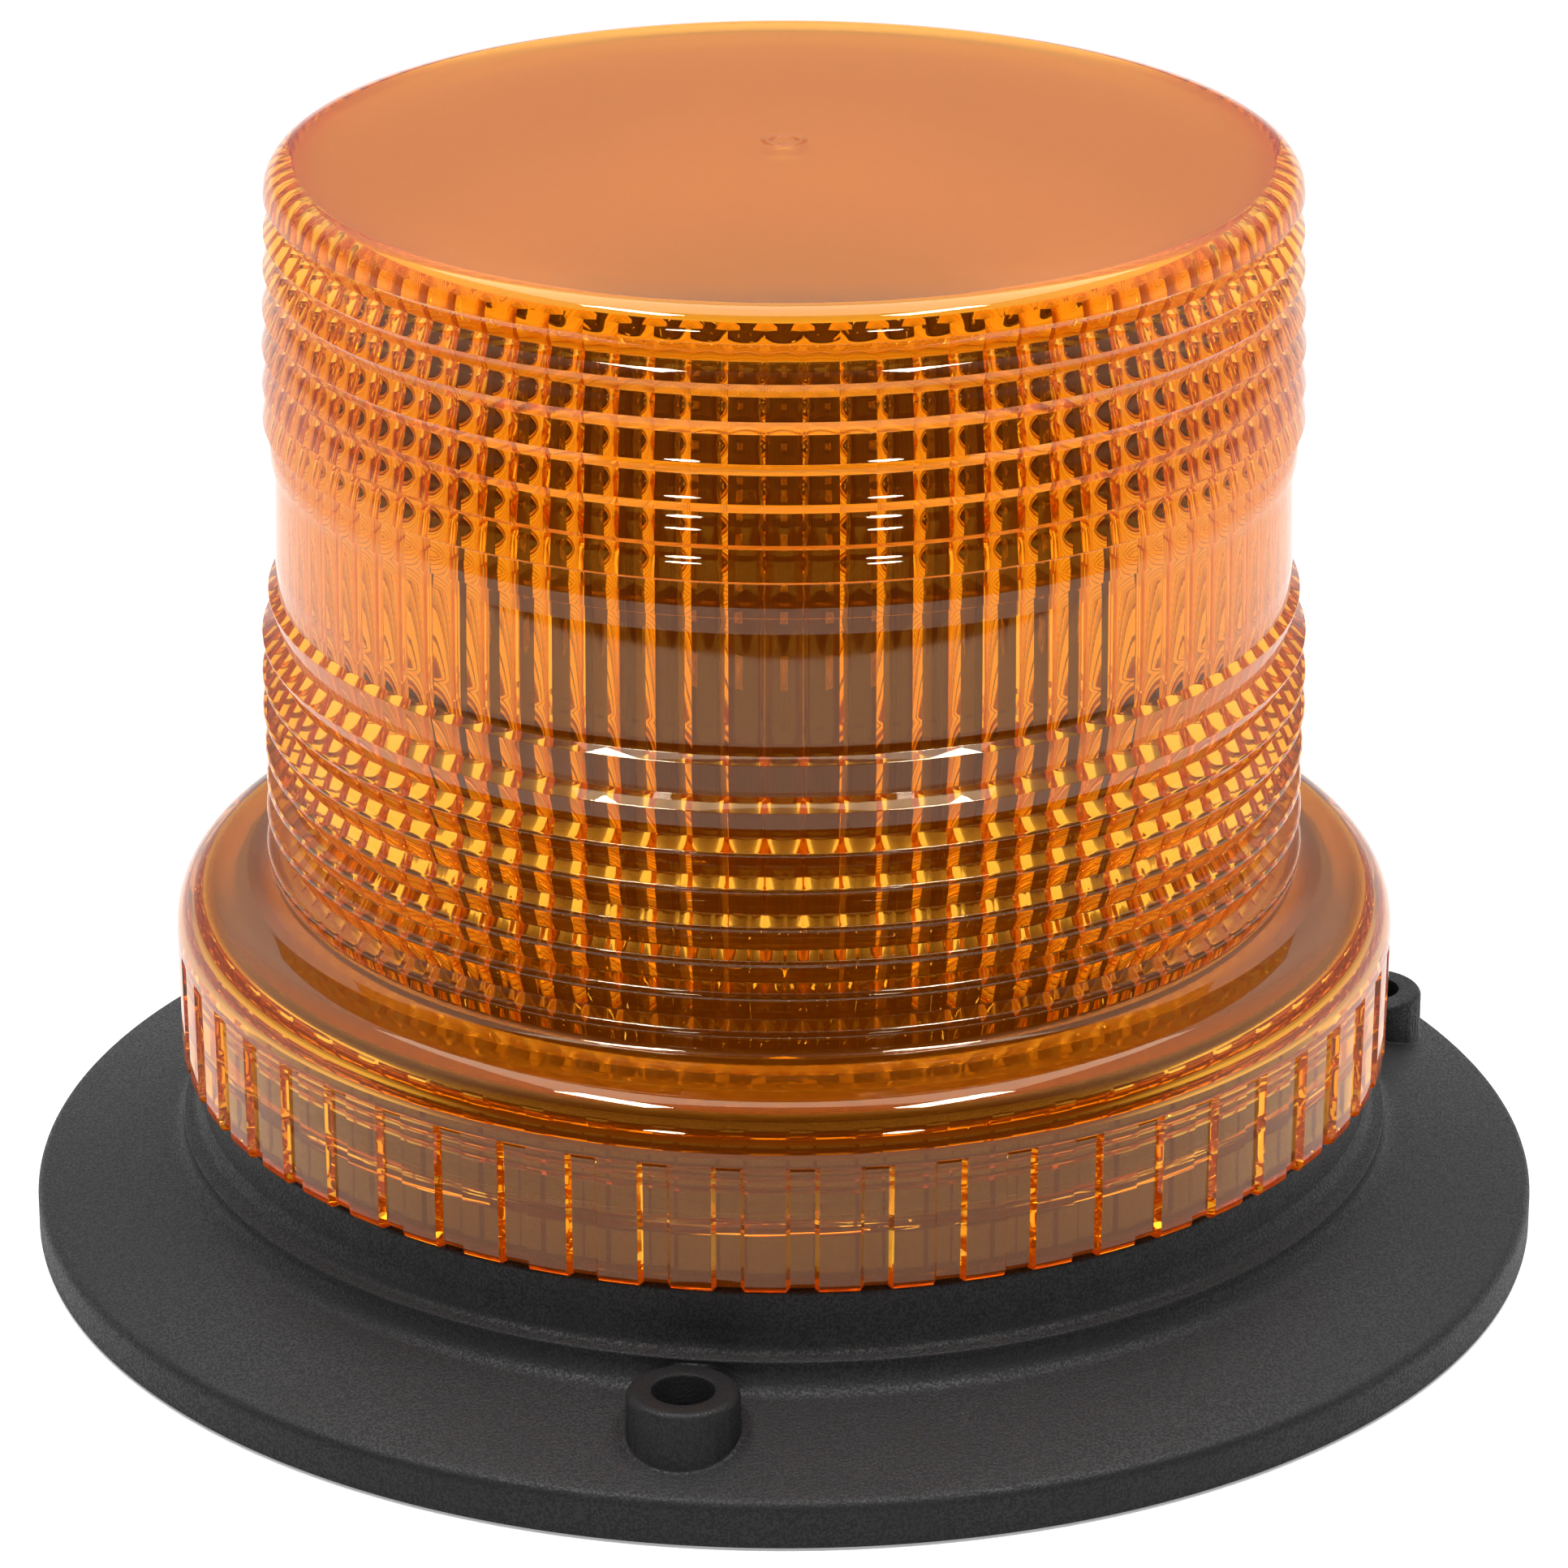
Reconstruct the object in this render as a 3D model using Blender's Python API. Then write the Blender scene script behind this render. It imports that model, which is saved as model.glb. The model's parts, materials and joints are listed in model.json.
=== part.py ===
"""Amber LED warning beacon: a ribbed lens that screws onto a black surface-mount base, and the LED tower inside.

Metres, +Z up. The origin is the centre of the base's underside and -Y is the front.
Run with: blender --background --python part.py
"""

import math

import bmesh
import bpy
from mathutils import Matrix, Vector

MM = 0.001
TURN = 2 * math.pi

# ---- driving dimensions, in millimetres --------------------------------------------------------------------

SIDES = 36  # facets of the large round pieces
SMALL_SIDES = 8  # facets of pins, posts and screws
POST_TWIST = 0.13  # radians; keeps a post's corners off the edges of the face it stands on
GAP = 0.3  # left between pieces that touch

BASE_R = 82.5
RIM_TOP = 3.6
FLARE_OUT = (80.0, 5.6)  # radius and height of the flare's straight part, at its outer and inner ends
FLARE_IN = (69.4, 8.8)
SHOULDER_R = 66.2
SHOULDER_TOP = 12.2
NECK_R = 64.2
NECK_TOP = 19.3
COLLAR_R = 60.2
COLLAR_BORE_R = 57.4
COLLAR_TOP = 36.0
FLOOR_TOP = 3.2
FLOOR_FILLET = 1.0
WIRE_HOLE_R = 8.0
GROMMET_RECESS_R = 10.6
GROMMET_RECESS = 1.2
GASKET_IN_R = 63.0
GASKET_OUT_R = 69.0
GASKET_DEPTH = 2.0

BOSS_CIRCLE_R = 73.0
BOSS_R = 5.8
BOSS_HOLE_R = 3.15
BOSS_TOP = 12.5
BOSS_START = -98.0  # degrees from +X; this boss is just left of the front

THREAD_PITCH = 2.5
BASE_THREAD_CREST_R = 61.4
BASE_THREAD_Z = 25.6
BASE_THREAD_TURNS = 2.25
LENS_THREAD_CREST_R = 60.8
LENS_THREAD_TURNS = 1.25
THREAD_ROOT_HALF = 0.55
THREAD_CREST_HALF = 0.25
THREAD_BURIED = 0.6
THREAD_FADE = 2  # facets over which a thread's ends die into the wall

LENS_BOTTOM = 19.9
SKIRT_R = 66.2
SKIRT_BORE_R = 62.2
FLANGE_TOP = 40.8
FLANGE_UNDER = 37.6
FLANGE_ROUND = 4.8
DOME_BORE_R = 52.0
DOME_BORE_TOP_R = 51.2
LENS_TOP = 119.9
LENS_TOP_THICK = 2.5
RIB_DEPTH = 0.7
LOWER_RIBS_Z = (44.2, 72.9)
LOWER_RIBS_R = (56.4, 55.9)
LOWER_RIB_COUNT = 7
UPPER_RIBS_Z = (88.4, 116.6)
UPPER_RIBS_R = (55.3, 54.4)
UPPER_RIB_COUNT = 7
RISER = 1.2
BAND_END_R = 54.0
BAND_MID_R = 54.5

BOARD_POST_CIRCLE_R = 42.0
TOWER_POST_CIRCLE_R = 52.0
BOARD_Z = 19.3
BOARD_R = 46.5
BOARD_THICK = 1.6
BOARD_BORE_R = 8.0
TOWER_BASE_Z = 29.5
TOWER_BASE_R = 56.2
TOWER_SEAT = 37.0
TOWER_BORE_R = 8.0
CORE_R = 23.0  # to the corners of the six-sided core
CORE_BORE_R = 13.0
CORE_TOP = 87.0
FACES = 6
LED_BOARD = (19.0, 1.2, 42.0)
LED_BOARD_Z = 44.0
LED_ROWS = (70.5, 80.5)
CAP_TOP = 92.5
CAP_R = 24.5


# ---- materials ---------------------------------------------------------------------------------------------

MATERIALS = {
    "amber_lens": ((0.86, 0.30, 0.03), 0.08, 0.0),
    "black_plastic": ((0.03, 0.03, 0.032), 0.55, 0.0),
    "black_rubber": ((0.02, 0.02, 0.02), 0.8, 0.0),
    "steel": ((0.62, 0.62, 0.64), 0.3, 1.0),
    "aluminium": ((0.1, 0.1, 0.11), 0.4, 1.0),
    "board_black": ((0.02, 0.03, 0.03), 0.45, 0.0),
    "chip_black": ((0.03, 0.03, 0.03), 0.4, 0.0),
    "led_clear": ((0.95, 0.82, 0.45), 0.1, 0.0),
    "capacitor_sleeve": ((0.55, 0.56, 0.6), 0.35, 1.0),
    "terminal_green": ((0.05, 0.3, 0.12), 0.5, 0.0),
    "button_white": ((0.8, 0.8, 0.78), 0.5, 0.0),
}


def material(name):
    found = bpy.data.materials.get(name)
    if found:
        return found
    colour, roughness, metallic = MATERIALS[name]
    made = bpy.data.materials.new(name)
    made.use_nodes = True
    shader = made.node_tree.nodes["Principled BSDF"]
    shader.inputs["Base Color"].default_value = (*colour, 1.0)
    shader.inputs["Roughness"].default_value = roughness
    shader.inputs["Metallic"].default_value = metallic
    return made


# ---- shapes ------------------------------------------------------------------------------------------------


def keep(name, shape, look):
    """A bmesh in millimetres as an object in metres, shaded smooth apart from its sharp edges."""
    bmesh.ops.remove_doubles(shape, verts=shape.verts, dist=1e-5)
    bmesh.ops.recalc_face_normals(shape, faces=shape.faces)
    bmesh.ops.scale(shape, vec=(MM, MM, MM), verts=shape.verts)
    mesh = bpy.data.meshes.new(name)
    shape.to_mesh(mesh)
    shape.free()
    mesh.shade_smooth()
    mesh.set_sharp_from_angle(angle=math.radians(30))
    mesh.materials.append(material(look))
    obj = bpy.data.objects.new(name, mesh)
    bpy.context.scene.collection.objects.link(obj)
    return obj


def turned(profile, sides):
    """The closed outline (radius, height) spun about Z. A point at radius 0 lies on the axis."""
    shape = bmesh.new()
    points = [shape.verts.new((r, 0.0, z)) for r, z in profile]
    edges = [
        shape.edges.new((a, b))
        for a, b in zip(points, points[1:] + points[:1])
        if a.co.x > 0 or b.co.x > 0
    ]
    bmesh.ops.spin(
        shape, geom=points + edges, cent=(0, 0, 0), axis=(0, 0, 1), angle=TURN, steps=sides, use_merge=True
    )
    return shape


def turned_piece(name, profile, look, sides=SIDES):
    return keep(name, turned(profile, sides), look)


def disc(radius, low, high, sides=SMALL_SIDES):
    return turned([(0, low), (radius, low), (radius, high), (0, high)], sides)


def block(size, centre):
    shape = bmesh.new()
    bmesh.ops.create_cube(shape, size=1.0, matrix=Matrix.Translation(centre) @ Matrix.Diagonal((*size, 1.0)))
    return shape


def moved(shape, place):
    bmesh.ops.transform(shape, matrix=place, verts=shape.verts)
    return shape


def around(radius, degrees, height=0.0):
    angle = math.radians(degrees)
    return Vector((radius * math.cos(angle), radius * math.sin(angle), height))


def combine(obj, tool, operation):
    """Joins or cuts obj with a helper object, by a Boolean that stays on obj."""
    tool.hide_render = True
    tool.display_type = "WIRE"
    modifier = obj.modifiers.new(tool.name, "BOOLEAN")
    modifier.operation = operation
    modifier.solver = "EXACT"
    modifier.object = tool


def add(obj, shape, label):
    combine(obj, keep(f"{obj.name}_{label}", shape, "black_plastic"), "UNION")


def cut(obj, shape, label):
    combine(obj, keep(f"{obj.name}_{label}", shape, "black_plastic"), "DIFFERENCE")


def thread(buried_r, crest_r, start_z, turns):
    """A right-hand thread ridge, its root buried in the wall at buried_r and its ends faded into it."""
    shape = bmesh.new()
    steps = round(turns * SIDES)
    rings = []
    for i in range(steps + 1):
        fade = min(1.0, i / THREAD_FADE, (steps - i) / THREAD_FADE)
        tip_r = buried_r + (crest_r - buried_r) * (0.25 + 0.75 * fade)
        angle = TURN * i / SIDES
        z = start_z + THREAD_PITCH * i / SIDES
        section = (
            (buried_r, z - THREAD_ROOT_HALF),
            (tip_r, z - THREAD_CREST_HALF),
            (tip_r, z + THREAD_CREST_HALF),
            (buried_r, z + THREAD_ROOT_HALF),
        )
        rings.append([shape.verts.new((r * math.cos(angle), r * math.sin(angle), h)) for r, h in section])
    for ring, after in zip(rings, rings[1:]):
        for k in range(4):
            shape.faces.new((ring[k], ring[(k + 1) % 4], after[(k + 1) % 4], after[k]))
    shape.faces.new(rings[0][::-1])
    shape.faces.new(rings[-1])
    return shape


def arc(centre, radius, start, stop, steps):
    """Points (r, z) on a circle in the profile plane, angles in degrees from the +r direction."""
    for i in range(steps + 1):
        angle = math.radians(start + (stop - start) * i / steps)
        yield centre[0] + radius * math.cos(angle), centre[1] + radius * math.sin(angle)


def screw(name, place, head_r, head_h, shaft_r, shaft_h, look="steel"):
    """A pan-head screw whose head rests on the point place, its shaft pointing down from there."""
    profile = [
        (0, -shaft_h),
        (shaft_r * 0.6, -shaft_h),
        (shaft_r, -shaft_h + shaft_r),
        (shaft_r, GAP),
        (head_r, GAP),
        (head_r, GAP + 0.6 * head_h),
        (0.7 * head_r, GAP + head_h),
        (0, GAP + head_h),
    ]
    return keep(name, moved(turned(profile, SMALL_SIDES), place), look)


# ---- the base ----------------------------------------------------------------------------------------------


def base_profile():
    """The housing's section: rim, flare, shoulder, neck, collar, then the bowl, its wire hole and the gasket's groove."""
    return [
        (BASE_R - 0.8, 0),
        (BASE_R, 0.8),
        (BASE_R, RIM_TOP),
        (BASE_R - 0.4, RIM_TOP + 0.8),
        (BASE_R - 1.3, RIM_TOP + 1.4),
        FLARE_OUT,
        FLARE_IN,
        (SHOULDER_R + 1.2, FLARE_IN[1] + 0.9),
        (SHOULDER_R + 0.2, FLARE_IN[1] + 1.9),
        (SHOULDER_R, SHOULDER_TOP - 0.6),
        (SHOULDER_R - 0.5, SHOULDER_TOP),
        (NECK_R + 0.7, SHOULDER_TOP + 0.8),
        (NECK_R, SHOULDER_TOP + 2.6),
        (NECK_R, NECK_TOP - 0.5),
        (NECK_R - 0.5, NECK_TOP),
        (COLLAR_R, NECK_TOP),
        (COLLAR_R, COLLAR_TOP - 0.5),
        (COLLAR_R - 0.5, COLLAR_TOP),
        (COLLAR_BORE_R + 0.5, COLLAR_TOP),
        (COLLAR_BORE_R, COLLAR_TOP - 0.5),
        (COLLAR_BORE_R, FLOOR_TOP + FLOOR_FILLET),
        (COLLAR_BORE_R - FLOOR_FILLET, FLOOR_TOP),
        (WIRE_HOLE_R, FLOOR_TOP),
        (WIRE_HOLE_R, GROMMET_RECESS),
        (GROMMET_RECESS_R, GROMMET_RECESS),
        (GROMMET_RECESS_R, 0),
        (GASKET_IN_R, 0),
        (GASKET_IN_R, GASKET_DEPTH),
        (GASKET_OUT_R, GASKET_DEPTH),
        (GASKET_OUT_R, 0),
    ]


def gathered(shapes):
    """Several bmeshes that don't touch, as one."""
    whole = bmesh.new()
    for shape in shapes:
        copy = bpy.data.meshes.new("copy")
        shape.to_mesh(copy)
        shape.free()
        whole.from_mesh(copy)
        bpy.data.meshes.remove(copy)
    return whole


def three_posts(circle_r, first_degrees, radius, low, high):
    """Three posts in one bmesh, evenly spaced."""
    posts = []
    for i in range(3):
        place = Matrix.Translation(around(circle_r, first_degrees + 120 * i))
        posts.append(moved(disc(radius, low, high), place @ Matrix.Rotation(POST_TWIST, 4, "Z")))
    return gathered(posts)


BOARD_SCREW_START = 90
TOWER_SCREW_START = 30
TOWER_POST_R = 3.6
BOARD_POST_R = 3.2
SCREW_BORE_R = 1.65
SCREW_BORE = 7.0
POST_TOP = TOWER_BASE_Z - GAP
BOARD_POST_TOP = BOARD_Z - GAP
POST_FOOT = FLOOR_TOP - 1.0  # the posts start inside the floor
BOSS_FOOT = 3.0
VENT_PLACE = (24.5, 43.0)
VENT_HOLE_R = 3.0


def base_housing():
    base = turned_piece("base_housing", base_profile(), "black_plastic")
    raised = [
        three_posts(BOSS_CIRCLE_R, BOSS_START, BOSS_R, BOSS_FOOT, BOSS_TOP),
        three_posts(TOWER_POST_CIRCLE_R, TOWER_SCREW_START, TOWER_POST_R, POST_FOOT, POST_TOP),
        three_posts(BOARD_POST_CIRCLE_R, BOARD_SCREW_START, BOARD_POST_R, POST_FOOT, BOARD_POST_TOP),
        thread(COLLAR_R - THREAD_BURIED, BASE_THREAD_CREST_R, BASE_THREAD_Z, BASE_THREAD_TURNS),
    ]
    add(base, gathered(raised), "posts_and_thread")
    vent_hole = moved(disc(VENT_HOLE_R, -1.0, FLOOR_TOP + 1), Matrix.Translation((*VENT_PLACE, 0)))
    holes = [
        three_posts(BOSS_CIRCLE_R, BOSS_START, BOSS_HOLE_R, -1.0, BOSS_TOP + 1),
        three_posts(TOWER_POST_CIRCLE_R, TOWER_SCREW_START, SCREW_BORE_R, POST_TOP - SCREW_BORE, POST_TOP + 1),
        three_posts(
            BOARD_POST_CIRCLE_R, BOARD_SCREW_START, SCREW_BORE_R, BOARD_POST_TOP - SCREW_BORE, BOARD_POST_TOP + 1
        ),
        vent_hole,
    ]
    cut(base, gathered(holes), "holes")
    return base


def mounting_gasket():
    low_r = GASKET_IN_R + GAP + 0.1
    high_r = GASKET_OUT_R - GAP - 0.1
    top = GASKET_DEPTH - GAP
    turned_piece("mounting_gasket", [(low_r, 0), (high_r, 0), (high_r, top), (low_r, top)], "black_rubber")


def cable_grommet():
    """The rubber ring in the base's floor that the supply cable passes through."""
    lip_r = 10.0
    stem_r = 7.6
    bore_r = 3.2
    low = GROMMET_RECESS - GAP
    high = FLOOR_TOP + GAP
    profile = [
        (bore_r, 0.2),
        (lip_r, 0.2),
        (lip_r, low),
        (stem_r, low),
        (stem_r, high),
        (lip_r, high),
        (lip_r - 0.8, high + 1.6),
        (bore_r + 1.6, high + 2.2),
        (bore_r, high + 2.2),
    ]
    turned_piece("cable_grommet", profile, "black_rubber", 24)


def vent_plug():
    """The breather that lets the housing equalise pressure, pressed into the floor."""
    profile = [
        (0, 0.4),
        (2.6, 0.4),
        (2.6, FLOOR_TOP + GAP),
        (4.2, FLOOR_TOP + GAP),
        (4.2, FLOOR_TOP + 1.4),
        (3.4, FLOOR_TOP + 2.0),
        (0, FLOOR_TOP + 2.0),
    ]
    plug = moved(turned(profile, SMALL_SIDES), Matrix.Translation((*VENT_PLACE, 0)))
    keep("vent_plug", plug, "black_plastic")


# ---- the driver board --------------------------------------------------------------------------------------

ON_BOARD = BOARD_Z + BOARD_THICK + GAP
SWITCH_PLACE = (38.0, 0.0)
SWITCH_TOP = ON_BOARD + 3.4
SWITCH_WELL = 2.6
BUTTON_TRAVEL = 0.5


def driver_board():
    top = BOARD_Z + BOARD_THICK
    profile = [(BOARD_BORE_R, BOARD_Z), (BOARD_R, BOARD_Z), (BOARD_R, top), (BOARD_BORE_R, top)]
    board = turned_piece("driver_board", profile, "board_black")
    cut(board, three_posts(BOARD_POST_CIRCLE_R, BOARD_SCREW_START, 1.6, BOARD_Z - 1, top + 1), "screw_holes")
    for i in range(3):
        place = Matrix.Translation(around(BOARD_POST_CIRCLE_R, BOARD_SCREW_START + 120 * i, top))
        screw(f"board_screw_{i + 1}", place, 2.6, 1.6, 1.1, 5.0)


def capacitor(name, x, y):
    profile = [
        (0, ON_BOARD),
        (3.6, ON_BOARD),
        (4.0, ON_BOARD + 0.5),
        (4.0, ON_BOARD + 6.2),
        (3.5, ON_BOARD + 6.8),
        (0, ON_BOARD + 6.8),
    ]
    keep(name, moved(turned(profile, 16), Matrix.Translation((x, y, 0))), "capacitor_sleeve")


def chamfered_block(name, size, x, y, look, chamfer=0.4, low=ON_BOARD):
    shape = block(size, (x, y, low + size[2] / 2))
    top = [e for e in shape.edges if all(v.co.z > low + size[2] / 2 for v in e.verts)]
    bmesh.ops.bevel(shape, geom=top, offset=chamfer, segments=1, affect="EDGES")
    return keep(name, shape, look)


def board_components():
    capacitor("capacitor_1", -30.0, 10.0)
    capacitor("capacitor_2", -30.0, -2.0)
    chamfered_block("inductor", (10.0, 10.0, 4.6), -18.0, -24.0, "chip_black", 1.4)
    chamfered_block("power_transistor", (6.6, 6.2, 2.3), -2.0, -30.0, "chip_black")
    chamfered_block("controller_chip", (6.2, 5.0, 1.6), 14.0, -26.0, "chip_black")
    chamfered_block("surge_diode", (4.6, 2.8, 2.2), -20.0, 24.0, "chip_black")
    chamfered_block("fuse", (6.4, 2.8, 2.6), -8.0, 27.0, "button_white")
    terminal = chamfered_block("input_terminal", (12.0, 8.4, 7.0), 10.0, 30.0, "terminal_green", 0.8)
    for side in (-1, 1):
        wire_way = block((3.2, 6.0, 3.0), (10.0 + side * 3.0, 35.0, ON_BOARD + 2.6))
        cut(terminal, wire_way, f"wire_way_{side + 2}")
    chamfered_block("tower_header", (10.0, 5.0, 6.5), 0.0, 14.5, "chip_black", 0.4)


def pattern_switch():
    """The tactile switch that steps through the flash patterns, and the button that moves in it."""
    x, y = SWITCH_PLACE
    housing = chamfered_block("switch_housing", (6.2, 6.2, 3.4), x, y, "chip_black", 0.3)
    cut(housing, moved(disc(2.15, SWITCH_TOP - SWITCH_WELL, SWITCH_TOP + 1, 16), Matrix.Translation((x, y, 0))), "well")
    low = SWITCH_TOP - SWITCH_WELL + GAP + BUTTON_TRAVEL
    high = SWITCH_TOP + 2.2
    profile = [(0, low), (1.75, low), (1.75, high - 0.3), (1.45, high), (0, high)]
    button = keep("pattern_button", turned(profile, 16), "button_white")
    button.location = (x * MM, y * MM, 0)


# ---- the LED tower -----------------------------------------------------------------------------------------


def tower_base():
    """The black plate over the driver board, with the raised seat that the tower stands on."""
    hub_r = 26.5
    profile = [
        (TOWER_BORE_R, TOWER_BASE_Z),
        (TOWER_BASE_R, TOWER_BASE_Z),
        (TOWER_BASE_R, TOWER_BASE_Z + 1.6),
        (TOWER_BASE_R - 0.4, TOWER_BASE_Z + 2.0),
        (hub_r + 2.0, TOWER_BASE_Z + 2.0),
        (hub_r, TOWER_BASE_Z + 4.0),
        (hub_r, TOWER_SEAT - 0.5),
        (hub_r - 0.5, TOWER_SEAT),
        (TOWER_BORE_R, TOWER_SEAT),
    ]
    plate = turned_piece("tower_base", profile, "black_plastic")
    top = TOWER_BASE_Z + 2.0
    cut(plate, three_posts(TOWER_POST_CIRCLE_R, TOWER_SCREW_START, 1.8, TOWER_BASE_Z - 1, top + 1), "screw_holes")
    finger = moved(disc(3.4, TOWER_BASE_Z - 1, top + 1, 16), Matrix.Translation((*SWITCH_PLACE, 0)))
    cut(plate, finger, "button_hole")
    for i in range(3):
        place = Matrix.Translation(around(TOWER_POST_CIRCLE_R, TOWER_SCREW_START + 120 * i, top))
        screw(f"tower_screw_{i + 1}", place, 3.0, 1.8, 1.3, 7.5)


def heat_sink():
    """The six-sided core, bored through for the wiring."""
    low = TOWER_SEAT + GAP
    shape = turned([(CORE_BORE_R, low), (CORE_R, low), (CORE_R, CORE_TOP), (CORE_BORE_R, CORE_TOP)], FACES)
    core = keep("heat_sink", shape, "aluminium")
    screw_hole = three_posts(17.2, 0, 1.5, CORE_TOP - 8, CORE_TOP + 1)
    cut(core, screw_hole, "cap_screw_holes")


def led(name, place):
    """One LED: a square package with a dome, its back on the board, facing out along local +Z."""
    package = 3.5
    height = 0.9
    dome_r = 1.45
    profile = [(0, 0.2), (dome_r, 0.2), (dome_r, height), *arc((0, height), dome_r, 30, 90, 2)]
    profile[-1] = (0, height + dome_r)
    body = keep(name, moved(block((package, package, height), (0, 0, height / 2)), place), "led_clear")
    add(body, moved(turned(profile, SMALL_SIDES), place), "dome")


def led_boards():
    width, thick, tall = LED_BOARD
    apothem = CORE_R * math.cos(math.pi / FACES)
    board_r = apothem + GAP + thick / 2
    screw_up = 5.0
    for i in range(FACES):
        facing = Matrix.Rotation(TURN * (i + 0.5) / FACES, 4, "Z")
        board = block((thick, width, tall), (board_r, 0, LED_BOARD_Z + tall / 2))
        board = keep(f"led_board_{i + 1}", moved(board, facing), "board_black")
        out = facing @ Matrix.Translation((board_r + thick / 2, 0, 0)) @ Matrix.Rotation(math.pi / 2, 4, "Y")
        hole = moved(disc(1.5, -4.5, 1), out @ Matrix.Translation((-LED_BOARD_Z - screw_up, 0, 0)))
        cut(board, hole, "screw_hole")
        tapped = moved(disc(1.5, -5.2, 1), out @ Matrix.Translation((-LED_BOARD_Z - screw_up, 0, 0)))
        cut(bpy.data.objects["heat_sink"], tapped, f"led_screw_hole_{i + 1}")
        screw(
            f"led_board_screw_{i + 1}", out @ Matrix.Translation((-LED_BOARD_Z - screw_up, 0, 0)), 2.2, 1.2, 1.1, 3.8
        )
        for row, height in enumerate(LED_ROWS):
            led(f"led_{2 * i + row + 1}", out @ Matrix.Translation((-height, 0, GAP)))


def tower_cap():
    low = CORE_TOP + GAP
    profile = [
        (0, low),
        (CAP_R, low),
        (CAP_R, CAP_TOP - 1.2),
        (CAP_R - 1.2, CAP_TOP),
        (20.4, CAP_TOP),
        (20.0, CAP_TOP - 1.6),
        (0, CAP_TOP - 1.6),
    ]
    cap = turned_piece("tower_cap", profile, "black_plastic")
    cut(cap, three_posts(17.2, 0, 1.6, low - 1, CAP_TOP + 1), "screw_holes")
    for i in range(3):
        place = Matrix.Translation(around(17.2, 120 * i, CAP_TOP - 1.6))
        screw(f"cap_screw_{i + 1}", place, 2.4, 1.4, 1.15, 9.0)


# ---- the lens ----------------------------------------------------------------------------------------------


def ribs(heights, radii, count, crest_low):
    """Prism ribs from the lowest edge up. Each crest is at its rib's lower edge, or at its upper edge."""
    low, high = heights
    pitch = (high - low) / count
    for i in range(count):
        z = low + pitch * i
        r = radii[0] + (radii[1] - radii[0]) * i / count
        if crest_low:
            yield r, z
            yield r - RIB_DEPTH, z + pitch - RISER
        else:
            yield r - RIB_DEPTH, z + RISER
            yield r, z + pitch


def lens_profile():
    corner = (SKIRT_R - FLANGE_ROUND, FLANGE_TOP - FLANGE_ROUND)
    band_low = LOWER_RIBS_Z[1]
    band_high = UPPER_RIBS_Z[0]
    return [
        (SKIRT_BORE_R + 0.5, LENS_BOTTOM),
        (SKIRT_R - 0.7, LENS_BOTTOM),
        (SKIRT_R, LENS_BOTTOM + 0.7),
        *arc(corner, FLANGE_ROUND, 0, 90, 3),
        (58.2, FLANGE_TOP + 0.2),
        (57.0, FLANGE_TOP + 0.8),
        (56.4, LOWER_RIBS_Z[0]),
        *ribs(LOWER_RIBS_Z, LOWER_RIBS_R, LOWER_RIB_COUNT, False),
        (BAND_END_R, band_low + 0.8),
        (BAND_MID_R, (band_low + band_high) / 2),
        (BAND_END_R, band_high - 0.6),
        *ribs(UPPER_RIBS_Z, UPPER_RIBS_R, UPPER_RIB_COUNT, True),
        (UPPER_RIBS_R[1], UPPER_RIBS_Z[1]),
        (53.6, LENS_TOP - 0.7),
        (51.4, LENS_TOP),
        (0, LENS_TOP),
        (0, LENS_TOP - LENS_TOP_THICK),
        (DOME_BORE_TOP_R - 0.8, LENS_TOP - LENS_TOP_THICK),
        (DOME_BORE_TOP_R, LENS_TOP - LENS_TOP_THICK - 0.8),
        (DOME_BORE_R, FLANGE_UNDER + 0.8),
        (DOME_BORE_R + 0.8, FLANGE_UNDER),
        (SKIRT_BORE_R - 0.8, FLANGE_UNDER),
        (SKIRT_BORE_R, FLANGE_UNDER - 0.8),
        (SKIRT_BORE_R, LENS_BOTTOM + 0.5),
    ]


def lens():
    dome = turned_piece("lens", lens_profile(), "amber_lens")
    start_z = BASE_THREAD_Z - THREAD_PITCH / 2
    add(dome, thread(SKIRT_BORE_R + THREAD_BURIED, LENS_THREAD_CREST_R, start_z, LENS_THREAD_TURNS), "thread")


def lens_seal():
    """The ring between the collar's top and the lens's flange. It rises with the lens."""
    low = COLLAR_TOP + GAP
    high = FLANGE_UNDER - GAP
    turned_piece("lens_seal", [(58.0, low), (59.8, low), (59.8, high), (58.0, high)], "black_rubber")


# ---- the whole ---------------------------------------------------------------------------------------------


def main():
    for obj in list(bpy.data.objects):
        bpy.data.objects.remove(obj, do_unlink=True)
    base_housing()
    mounting_gasket()
    cable_grommet()
    vent_plug()
    driver_board()
    board_components()
    pattern_switch()
    tower_base()
    heat_sink()
    led_boards()
    tower_cap()
    lens()
    lens_seal()


main()
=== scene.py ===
"""The looks of the amber warning beacon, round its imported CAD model.

Shapes are worked out in millimetres in the model's own frame, and scaled to metres when a piece is made.
Places and widths in the materials are in metres.
"""
import json
import math

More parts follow.
